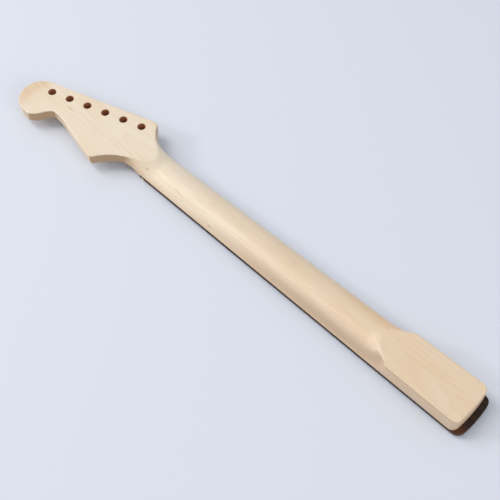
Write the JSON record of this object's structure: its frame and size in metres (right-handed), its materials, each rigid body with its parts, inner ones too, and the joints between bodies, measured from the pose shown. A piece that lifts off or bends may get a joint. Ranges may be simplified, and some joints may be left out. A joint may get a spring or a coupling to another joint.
{
  "type": "electric guitar neck",
  "caption": "Bolt-on guitar neck in bare maple with a rosewood fingerboard, a one-sided headstock drilled for tuners, a flat heel and a truss rod turned from the head.",
  "frame": {"origin": "centre of the footprint, at the level of the table the neck lies face down on", "axes": "+X from the head to the heel along the neck's centreline, +Y to the bass side with the tuner holes, +Z out of the neck's back"},
  "size_m": [0.6698, 0.0966, 0.0271],
  "materials": {
    "maple": "bare, fine sanded, slight sheen",
    "rosewood": "bare, open grained",
    "nickel_silver": "polished",
    "bone": "buffed",
    "inlay": "flush sanded and buffed",
    "steel": "plain machined",
    "brass": "plain machined"
  },
  "bodies": {
    "neck": {"maple_neck_blank": "maple", "rosewood_fingerboard": "rosewood", "face_dot_03": "inlay", "face_dot_05": "inlay", "face_dot_07": "inlay", "face_dot_09": "inlay", "face_dot_15": "inlay", "face_dot_17": "inlay", "face_dot_19": "inlay", "face_dot_21": "inlay", "face_dot_12_treble": "inlay", "face_dot_12_bass": "inlay", "side_dot_03": "inlay", "side_dot_05": "inlay", "side_dot_07": "inlay", "side_dot_09": "inlay", "side_dot_15": "inlay", "side_dot_17": "inlay", "side_dot_19": "inlay", "side_dot_21": "inlay", "side_dot_12_a": "inlay", "side_dot_12_b": "inlay", "fret_01": "nickel_silver", "fret_02": "nickel_silver", "fret_03": "nickel_silver", "fret_04": "nickel_silver", "fret_05": "nickel_silver", "fret_06": "nickel_silver", "fret_07": "nickel_silver", "fret_08": "nickel_silver", "fret_09": "nickel_silver", "fret_10": "nickel_silver", "fret_11": "nickel_silver", "fret_12": "nickel_silver", "fret_13": "nickel_silver", "fret_14": "nickel_silver", "fret_15": "nickel_silver", "fret_16": "nickel_silver", "fret_17": "nickel_silver", "fret_18": "nickel_silver", "fret_19": "nickel_silver", "fret_20": "nickel_silver", "fret_21": "nickel_silver", "fret_22": "nickel_silver", "string_nut": "bone", "truss_rod_flat_bar": "steel", "truss_rod_head_block": "brass", "truss_rod_heel_block": "brass"},
    "truss_rod": {"truss_rod_threaded_rod": "steel", "truss_rod_adjuster": "steel"}
  },
  "joints": [
    {"name": "truss_rod_turn", "type": "hinge", "parent": "neck", "child": "truss_rod", "pos_m": [-0.14309, 0.00929, 0.01433], "axis": [1, 0, 0], "range_deg": [-360, 360]}
  ]
}
